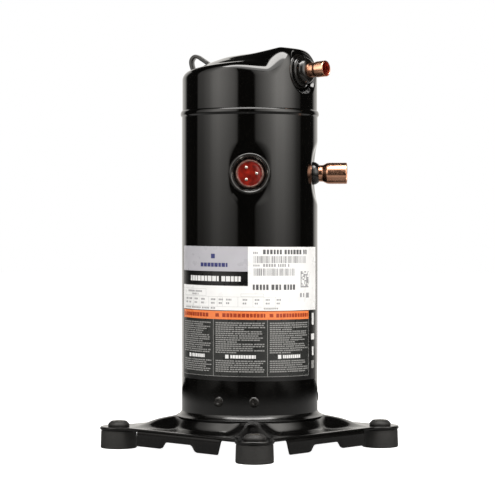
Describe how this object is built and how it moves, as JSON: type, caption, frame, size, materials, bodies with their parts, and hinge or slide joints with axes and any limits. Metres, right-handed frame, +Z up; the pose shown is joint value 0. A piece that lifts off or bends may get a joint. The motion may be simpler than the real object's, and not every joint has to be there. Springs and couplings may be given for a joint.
{
  "type": "hermetic scroll compressor",
  "caption": "Upright welded-shell scroll compressor on a square base with rubber feet, side suction and top discharge stubs and a round terminal.",
  "frame": {"origin": "on the shell's axis at the bottom of the rubber feet", "axes": "+Z up along the shell's axis; the base plate's sides are parallel to X and Y; the terminal faces the (+X, -Y) corner"},
  "size_m": [0.2288, 0.2288, 0.4084],
  "materials": {
    "black_paint": "gloss black enamel",
    "dark_steel": "gloss black enamel over steel fitting",
    "copper": "bright drawn copper",
    "winding_copper": "enamelled copper wire",
    "rubber": "matte black rubber",
    "zinc_steel": "zinc plated",
    "label_film": null,
    "red_insulator": "red insulating resin",
    "pin_plate": "plated pins",
    "glass_bead": "fused glass",
    "cast": "machined cast iron",
    "machined_steel": "ground steel",
    "laminations": "stacked electrical steel",
    "aluminium": "die cast",
    "bronze": "bearing bronze",
    "moulded": "moulded plastic",
    "magnet": "ferrite"
  },
  "bodies": {
    "casing": {"shell_tube": "black_paint", "top_cap": "black_paint", "girth_weld": "black_paint", "muffler_plate": "machined_steel", "lifting_hook": "black_paint", "base_plate": "black_paint", "foot_grommets": "rubber", "grommet_sleeves": "zinc_steel", "bracket_plug_welds": "black_paint", "rating_label": "label_film", "suction_collar": "dark_steel", "suction_stub": "copper", "suction_baffle": "machined_steel", "discharge_collar": "dark_steel", "discharge_stub": "copper", "terminal_fence": "black_paint", "terminal_cup": "zinc_steel", "terminal_face": "red_insulator", "terminal_pins": "pin_plate", "glass_seals": "glass_bead", "cover_clip": "black_paint", "lead_block": "moulded", "motor_leads": "moulded", "check_valve_cage": "machined_steel", "relief_valve_body": "bronze", "main_bearing_housing": "cast", "main_bush": "bronze", "scroll_bolts": "zinc_steel", "bolt_sleeves": "machined_steel", "lower_bracket": "machined_steel", "lower_bush": "bronze", "thrust_washer": "machined_steel", "stator_core": "laminations", "windings": "winding_copper", "motor_protector": "moulded", "sump_magnet": "magnet"},
    "crank": {"crankshaft": "machined_steel", "oil_pickup": "machined_steel", "drive_bush": "machined_steel", "upper_counterweight": "cast", "lower_counterweight": "cast", "rotor_core": "laminations", "rotor_end_rings": "aluminium"},
    "orbiter": {"orbiting_scroll": "cast", "hub_bush": "bronze"},
    "floating_thrust_ring": {"thrust_ring": "machined_steel"},
    "oldham_coupling": {"oldham_ring": "aluminium"},
    "fixed_scroll_body": {"fixed_scroll": "cast"},
    "seal": {"floating_seal": "cast"},
    "discharge_valve": {"check_valve_disc": "machined_steel"},
    "relief_plunger": {"relief_valve_plunger": "machined_steel"}
  },
  "joints": [
    {"name": "shaft_spin", "type": "hinge", "parent": "casing", "child": "crank", "pos_m": [0, 0, 0.2], "axis": [0, 0, 1], "continuous": true},
    {"name": "orbiter_turn_back", "type": "hinge", "parent": "crank", "child": "orbiter", "pos_m": [0.0041, 0, 0.3], "axis": [0, 0, 1], "continuous": true},
    {"name": "thrust_ring_turn_back", "type": "hinge", "parent": "crank", "child": "floating_thrust_ring", "pos_m": [0.00205, 0, 0.307], "axis": [0, 0, 1], "continuous": true},
    {"name": "oldham_slide", "type": "hinge", "parent": "floating_thrust_ring", "child": "oldham_coupling", "pos_m": [0.0041, 0, 0.303], "axis": [0, 0, 1], "continuous": true},
    {"name": "fixed_scroll_float", "type": "slide", "parent": "casing", "child": "fixed_scroll_body", "axis": [0, 0, 1], "range_m": [0, 0.0006]},
    {"name": "seal_float", "type": "slide", "parent": "fixed_scroll_body", "child": "seal", "axis": [0, 0, 1], "range_m": [0, 0.0006]},
    {"name": "check_valve_lift", "type": "slide", "parent": "casing", "child": "discharge_valve", "axis": [0, 0, 1], "range_m": [0, 0.0045]},
    {"name": "relief_valve_lift", "type": "slide", "parent": "casing", "child": "relief_plunger", "axis": [0, 0, 1], "range_m": [0, 0.003]}
  ],
  "couplings": [
    {"joint": "orbiter_turn_back", "follows": "shaft_spin", "ratio": -1},
    {"joint": "thrust_ring_turn_back", "follows": "shaft_spin", "ratio": -2},
    {"joint": "oldham_slide", "follows": "shaft_spin", "ratio": 1}
  ]
}
